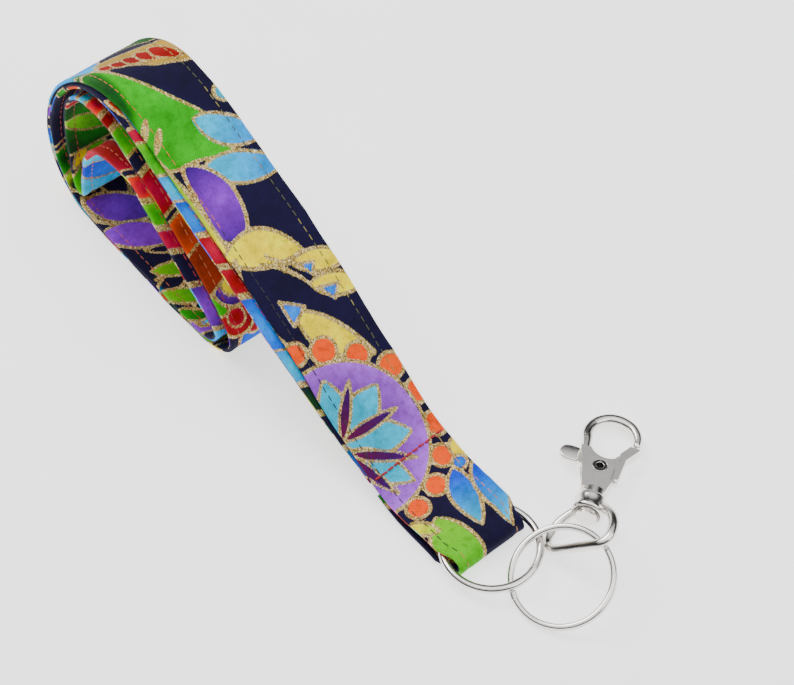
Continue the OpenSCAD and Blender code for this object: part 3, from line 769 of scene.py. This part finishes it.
def place(at, turn):
    """OpenSCAD's translate(at) rotate(turn), with the frame's shift, in mm."""
    return Matrix.Translation((at[0] + SX, at[1] + SY, at[2] + SZ)) @ rot_z(turn[2]) @ rot_y(turn[1]) @ rot_x(turn[0])


def sweep(name, path, section, mat4, material, closed=False, normals=None, caps=True):
    """A section of (across, up) points swept along a path of points in mm. up is normals[i]."""
    path = np.array(path, float)
    m = len(path)
    if closed:
        tan = np.roll(path, -1, 0) - np.roll(path, 1, 0)
    else:
        tan = np.gradient(path, axis=0)
    tan /= np.linalg.norm(tan, axis=1)[:, None]
    verts, faces = [], []
    k = len(section(0) if callable(section) else section)
    for i in range(m):
        upv = np.array(normals[i] if normals is not None else (0, 0, 1), float)
        side = np.cross(upv, tan[i])
        side /= np.linalg.norm(side)
        upn = np.cross(tan[i], side)
        sc = section(i) if callable(section) else section
        for a, b in sc:
            q = path[i] + side * a + upn * b
            verts.append(tuple((mat4 @ Vector(q)) * MM))
    span = m if closed else m - 1
    for i in range(span):
        j = (i + 1) % m
        for c in range(k):
            d = (c + 1) % k
            faces.append((i * k + c, i * k + d, j * k + d, j * k + c))
    if not closed and caps:
        faces.append(tuple(reversed(range(k))))
        faces.append(tuple(range((m - 1) * k, m * k)))
    me = bpy.data.meshes.new(name)
    me.from_pydata(verts, [], faces)
    bm = bmesh.new()
    bm.from_mesh(me)
    bmesh.ops.recalc_face_normals(bm, faces=bm.faces)
    bm.to_mesh(me)
    bm.free()
    me.shade_smooth()
    ob = bpy.data.objects.new(name, me)
    bpy.context.collection.objects.link(ob)
    me.materials.append(material)
    return ob


def circle_section(r, n=24):
    return [(r * math.cos(2 * math.pi * i / n), r * math.sin(2 * math.pi * i / n)) for i in range(n)]


def rounded_rect(w, h, r, n=5):
    out = []
    for cx, cy, a0 in ((w / 2 - r, h / 2 - r, 0), (-w / 2 + r, h / 2 - r, 90), (-w / 2 + r, -h / 2 + r, 180), (w / 2 - r, -h / 2 + r, 270)):
        for i in range(n + 1):
            a = math.radians(a0 + 90 * i / n)
            out.append((cx + r * math.cos(a), cy + r * math.sin(a)))
    return out


# O-ring: one closed wire
ring_path = [(12.4 * math.cos(t), 12.4 * math.sin(t), 0) for t in np.linspace(0, 2 * math.pi, 240, endpoint=False)]


o_ring = sweep("o_ring_wire", ring_path, circle_section(1.1, 28), place((54, 0, 3.4), (0, -2.3, 0)), nickel, closed=True)

# split ring: a flat wire wound twice, stepping from one turn to the other
split_path = []
split_f = []
for t in np.linspace(0, 720, 560):
    a = math.radians(-112 + 4 + t * 712 / 720)
    f = min(1, max(0, (t - 346) / 28))
    f = f * f * (3 - 2 * f)
    split_path.append((12.9 * math.cos(a), 12.9 * math.sin(a), 0.49 - 0.98 * f))
    split_f.append(f)


def split_section(i):
    """Half of a round wire: domed on its outer face, flat where the two turns meet."""
    f = split_f[i]
    top, bot, c = 0.80 * (1 - f) + 0.07 * f, 0.07 * (1 - f) + 0.80 * f, -0.36 * (1 - f) + 0.36 * f
    out = []
    for q in range(28):
        a = 2 * math.pi * (q + 0.5) / 28
        x, y = math.cos(a), math.sin(a)
        out.append((0.86 * math.copysign(abs(x) ** 0.85, x), c + (top if y > 0 else bot) * y))
    return out


split = sweep("split_ring_wire", split_path, split_section, place((72.2, 7.3, 5.17), (18.57, -0.22, 0)), nickel)


def catmull(P, n):
    P = np.array(P, float)
    out = []
    for i in range(len(P) - 1):
        ta = (P[min(i + 1, len(P) - 1)] - P[max(i - 1, 0)]) / 2
        tb = (P[min(i + 2, len(P) - 1)] - P[i]) / 2
        for u in np.arange(0, 1, 1 / n):
            out.append(P[i] * (2 * u ** 3 - 3 * u * u + 1) + ta * (u ** 3 - 2 * u * u + u) + P[i + 1] * (3 * u * u - 2 * u ** 3) + tb * (u ** 3 - u * u))
    out.append(P[-1])
    return np.array(out)


def lathe(name, prof, mat4, material, n=96):
    """A closed profile of (x, r) turned round local X."""
    verts, faces = [], []
    k = len(prof)
    for i in range(n):
        a = 2 * math.pi * i / n
        for x, r in prof:
            verts.append(tuple((mat4 @ Vector((x, r * math.cos(a), r * math.sin(a)))) * MM))
    for i in range(n):
        j = (i + 1) % n
        for c in range(k):
            d = (c + 1) % k
            faces.append((i * k + c, i * k + d, j * k + d, j * k + c))
    me = bpy.data.meshes.new(name)
    me.from_pydata(verts, [], faces)
    bm = bmesh.new()
    bm.from_mesh(me)
    bmesh.ops.recalc_face_normals(bm, faces=bm.faces)
    bm.to_mesh(me)
    bm.free()
    me.shade_smooth()
    ob = bpy.data.objects.new(name, me)
    bpy.context.collection.objects.link(ob)
    me.materials.append(material)
    return ob


CLASP = place((62.15, 25.83, 5.9), (0, 6.46, 121.82))
EYE = CLASP @ rot_x(-35.5)
side_pts = [(-0.3, 3.4), (-3.2, 7.2), (-6, 8.9), (-9, 9.4), (-11.6, 8.9), (-13.1, 7), (-13.4, 3.6)]
eye_pts = side_pts + [(-13.4, 0)] + [(x, -y) for x, y in reversed(side_pts)]
eye_path = [(p[0], p[1], 0) for p in catmull(eye_pts, 14)]
eye = sweep("swivel_eye_wire", eye_path, circle_section(1.28, 28), EYE, nickel_cast)
# collar: a turned bush with rounded rims, a shallow waist and the stud's bore
R, L2, b = 4.25, 2.6, 1.96
prof = [(-L2, b + 0.1), (-L2, R - 0.9)]
for i in range(7):
    a = math.radians(90 * i / 6)
    prof.append((-L2 + 0.9 - 0.9 * math.cos(a), R - 0.9 + 0.9 * math.sin(a)))
prof += [(-0.8, R - 0.12), (0.0, R - 0.16), (0.8, R - 0.12)]
for i in range(7):
    a = math.radians(90 * i / 6)
    prof.append((L2 - 0.9 + 0.9 * math.sin(a), R - 0.9 + 0.9 * math.cos(a)))
prof += [(L2, b + 0.1), (L2 - 0.12, b), (-L2 + 0.12, b)]
collar = lathe("swivel_eye_collar", prof, EYE, nickel_cast)


def softened(node, name, width, material, seg=3, angle=32, cut=None):
    """The CAD node's own shape with its edges rounded, kept only up to cut along the clasp."""
    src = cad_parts[node]
    me = src.data.copy()
    me.name = name
    bm = bmesh.new()
    bm.from_mesh(me)
    bmesh.ops.remove_doubles(bm, verts=bm.verts, dist=2e-6)
    bmesh.ops.dissolve_limit(bm, angle_limit=math.radians(0.6), verts=bm.verts, edges=bm.edges)
    if cut is not None:
        co = (CLASP @ Vector((cut, 0, 0))) * MM
        no = (CLASP.to_3x3() @ Vector((1, 0, 0))).normalized()
        bmesh.ops.bisect_plane(bm, geom=bm.verts[:] + bm.edges[:] + bm.faces[:], plane_co=co, plane_no=no, clear_outer=True, dist=1e-7)
        bmesh.ops.holes_fill(bm, edges=[e for e in bm.edges if e.is_boundary], sides=0)
    bmesh.ops.recalc_face_normals(bm, faces=bm.faces)
    bm.to_mesh(me)
    bm.free()
    ob = bpy.data.objects.new(name, me)
    ob.matrix_world = src.matrix_world
    bpy.context.collection.objects.link(ob)
    me.materials.clear()
    me.materials.append(material)
    for p in me.polygons:
        p.material_index = 0
    mod = ob.modifiers.new("soft", "BEVEL")
    mod.width = width * MM
    mod.segments = seg
    mod.limit_method = "ANGLE"
    mod.angle_limit = math.radians(angle)
    mod.use_clamp_overlap = True
    mod.harden_normals = False
    me.shade_smooth()
    wn_ = ob.modifiers.new("even", "WEIGHTED_NORMAL")
    wn_.mode = "FACE_AREA"
    wn_.weight = 100
    wn_.keep_sharp = False
    dg = bpy.context.evaluated_depsgraph_get()
    dg.update()
    new = bpy.data.meshes.new_from_object(ob.evaluated_get(dg))
    ob.modifiers.clear()
    ob.data = new
    return ob


hook = softened("hook_body", "hook_casting", 0.45, nickel_cast, cut=17.4)
# the bow: a rounded bar that thins towards the claw
bow_pts = [(13.6, 4.45), (17.0, 5.40)]
for k in range(15):
    a = math.radians(112 - (112 + 99) * k / 14)
    rr = 6.62 if a > -0.6 else 6.72
    bow_pts.append((23.25 + rr * math.cos(a), -0.05 + rr * math.sin(a)))
bow_path = catmull(bow_pts, 10)
BOW_N = len(bow_path)


def bow_section(i):
    t = i / (BOW_N - 1)
    wide = np.interp(t, [0, 0.07, 0.14, 0.35, 0.6, 0.85, 0.97, 1.0], [1.28, 1.28, 1.55, 1.42, 1.50, 1.30, 1.12, 0.82])
    thick = np.interp(t, [0, 0.12, 0.35, 0.6, 0.85, 0.97, 1.0], [2.25, 2.2, 1.80, 1.70, 1.65, 1.55, 1.15])
    out = []
    for q in range(28):
        a = 2 * math.pi * q / 28
        c, d = math.cos(a), math.sin(a)
        out.append((wide * math.copysign(abs(c) ** 0.8, c), thick * math.copysign(abs(d) ** 0.8, d)))
    return out


bow = sweep("hook_bow", [(p[0], p[1], 0) for p in bow_path], bow_section, CLASP, nickel_cast)


def plate(name, pts, z0, z1, bevel, material):
    """A flat casting with rounded edges: a closed outline in the clasp's plane, from z0 to z1."""
    cu = bpy.data.curves.new(name, "CURVE")
    cu.dimensions = "2D"
    cu.fill_mode = "BOTH"
    sp_ = cu.splines.new("POLY")
    sp_.points.add(len(pts) - 1)
    for i, q in enumerate(pts):
        sp_.points[i].co = (q[0], q[1], 0, 1)
    sp_.use_cyclic_u = True
    cu.extrude = (z1 - z0) / 2 - bevel
    cu.bevel_depth = bevel
    cu.bevel_resolution = 3
    cu.offset = -bevel
    tmp = bpy.data.objects.new(name + "_c", cu)
    bpy.context.collection.objects.link(tmp)
    dg = bpy.context.evaluated_depsgraph_get()
    dg.update()
    me = bpy.data.meshes.new_from_object(tmp.evaluated_get(dg))
    bpy.data.objects.remove(tmp)
    me.transform(Matrix.Scale(MM, 4) @ CLASP @ Matrix.Translation((0, 0, (z0 + z1) / 2)))
    bm = bmesh.new()
    bm.from_mesh(me)
    bmesh.ops.remove_doubles(bm, verts=bm.verts, dist=2e-6)
    bmesh.ops.recalc_face_normals(bm, faces=bm.faces)
    bm.to_mesh(me)
    bm.free()
    me.shade_smooth()
    me.set_sharp_from_angle(angle=math.radians(50))
    me.materials.clear()
    me.materials.append(material)
    ob = bpy.data.objects.new(name, me)
    bpy.context.collection.objects.link(ob)
    return ob


gate = softened("gate_lever", "gate_casting", 0.22, nickel_cast, 2)
tab = plate("gate_thumb_tab", rounded([(12.9, 6.9), (12.7, 9.4), (13.6, 11.4), (15.6, 11.9), (17.3, 10.6), (17.2, 6.9), (15.0, 6.75)], 5), -1.15, 0.75, 0.42, nickel_cast)
rivet = softened("lever_rivet", "rivet_tube", 0.12, nickel, 2)
# painted shade: the bore's faces get a dark nickel, standing in for the shade down a deep narrow bore
bore_painted_shade = nickel_material("rivet_bore_painted_shade", (0.05, 0.048, 0.045), 0.5, 1.0)
rivet.data.materials.append(bore_painted_shade)
inv = (Matrix.Scale(MM, 4) @ CLASP).inverted()
for pg in rivet.data.polygons:
    q = inv @ pg.center
    if math.hypot(q.x - 12.0, q.y - 0.6) < 1.06:
        pg.material_index = 1
# ---------------------------------------------------------------- frame links
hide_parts("fabric_strap", "strap_interfacing")
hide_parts("topstitch_left")
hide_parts("topstitch_right")
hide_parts("bar_tack")
for o, sl in ((strap, "cotton"), (left, "thread_tan"), (rightrow, "thread_olive"), (tack, "thread_red")):
    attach(o, "strap")
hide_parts("o_ring")
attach(o_ring, "o_ring")
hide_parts("split_ring")
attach(split, "split_ring")
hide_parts("swivel_eye")
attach(eye, "swivel_eye")
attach(collar, "swivel_eye")
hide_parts("hook_body")
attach(hook, "hook")
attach(bow, "hook")
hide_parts("gate_lever")
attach(gate, "gate")
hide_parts("lever_rivet")
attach(rivet, "hook")
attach(tab, "gate")
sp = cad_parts["lever_spring"]
sp.data.materials.clear()
sp.data.materials.append(nickel_dark)

# ---------------------------------------------------------------- stage
floor_me = bpy.data.meshes.new("floor")
floor_me.from_pydata([(-4, -4, 0), (4, -4, 0), (4, 4, 0), (-4, 4, 0)], [], [(0, 1, 2, 3)])
floor = bpy.data.objects.new("floor", floor_me)
bpy.context.collection.objects.link(floor)
floor.location.z = -0.00005
fm, fnt, fb = new_mat("pale_floor")
ftc = fnt.nodes.new("ShaderNodeTexCoord")
fn = noise(fnt, ftc.outputs["Object"], 40.0, 3.0, 0.5)
fnt.links.new(ramp(fnt, fn, [(0.3, (0.86, 0.865, 0.87)), (0.7, (0.90, 0.90, 0.90))]), fb.inputs["Base Color"])
fb.inputs["Roughness"].default_value = 0.6
fb.inputs["Emission Color"].default_value = (0.985, 0.99, 1.0, 1.0)
fb.inputs["Emission Strength"].default_value = 1.3
fb.inputs["Specular IOR Level"].default_value = 0.25
floor_me.materials.append(fm)


def area(name, loc, size, power, target=(0, 0, 0), color=(1, 1, 1)):
    ld = bpy.data.lights.new(name, "AREA")
    ld.shape = "RECTANGLE"
    ld.size, ld.size_y = size
    ld.energy = power
    ld.color = color
    ob = bpy.data.objects.new(name, ld)
    bpy.context.collection.objects.link(ob)
    ob.location = loc
    ob.rotation_euler = (Vector(target) - Vector(loc)).to_track_quat("-Z", "Y").to_euler()
    return ob


def cam_space(r_, u_, b_):
    """A point given along the camera's right, the floor direction up the picture, and up."""
    fwd = Vector((-math.sin(AZ), math.cos(AZ), 0))
    return right * r_ + fwd * u_ + Vector((0, 0, b_))


area("key", cam_space(-0.55, 0.55, 0.95), (0.7, 0.7), 11.0, color=(1.0, 0.985, 0.96))
area("fill", cam_space(0.7, -0.35, 0.7), (0.8, 0.6), 3.4, color=(0.97, 0.985, 1.0))
area("top", cam_space(0.05, 0.0, 1.2), (0.9, 0.9), 2.4)

world = bpy.data.worlds.new("studio")
bpy.context.scene.world = world
world.use_nodes = True
wn = world.node_tree
wn.nodes.clear()
wo = wn.nodes.new("ShaderNodeOutputWorld")
bg = wn.nodes.new("ShaderNodeBackground")
wn.links.new(bg.outputs[0], wo.inputs[0])
wtc = wn.nodes.new("ShaderNodeTexCoord")
wsep = wn.nodes.new("ShaderNodeSeparateXYZ")
wn.links.new(wtc.outputs["Generated"], wsep.inputs[0])
wr = ramp(wn, wsep.outputs[2], [(0.0, (0.42, 0.425, 0.435)), (0.19, (0.38, 0.385, 0.395)), (0.24, (0.012, 0.012, 0.013)), (0.60, (0.008, 0.008, 0.009)), (0.74, (0.60, 0.605, 0.62)), (0.88, (1.0, 1.0, 1.0))])
wn.links.new(wr, bg.inputs[0])
bg.inputs[1].default_value = 1.5
